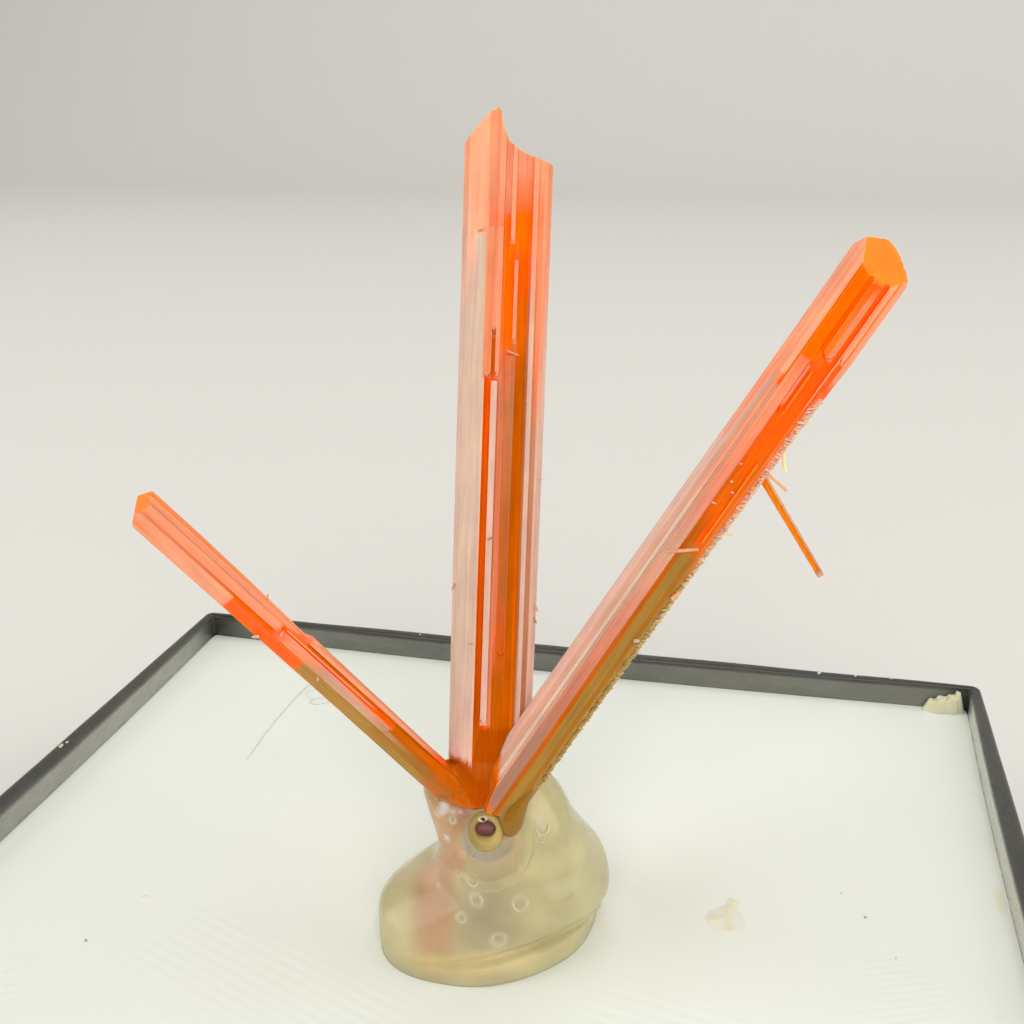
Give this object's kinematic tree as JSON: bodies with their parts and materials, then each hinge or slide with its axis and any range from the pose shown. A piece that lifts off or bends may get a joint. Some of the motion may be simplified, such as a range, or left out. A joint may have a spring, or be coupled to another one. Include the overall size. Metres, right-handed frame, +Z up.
{
  "type": "mounted crocoite thumbnail specimen",
  "caption": "Crocoite thumbnail: long striated orange crystals fanning from one root, held in a dollop of set glue on the white insert of a square black box base.",
  "frame": {"origin": "middle of the underside of the box base", "axes": "+Z up; -Y towards the side of the crystals that shows their wide faces; +X towards the thicker leaning crystal"},
  "size_m": [0.0318, 0.0318, 0.0274],
  "materials": {
    "crocoite": "gloss",
    "set_glue": "satin",
    "dry_glue": "matte",
    "white_insert": "matte",
    "black_base": "gloss"
  },
  "bodies": {
    "root": {"crocoite_crystals": "crocoite", "mounting_glue": "set_glue", "base_insert": "white_insert", "base_tray": "black_base", "glue_dot": "dry_glue", "corner_glue": "dry_glue"}
  },
  "joints": []
}
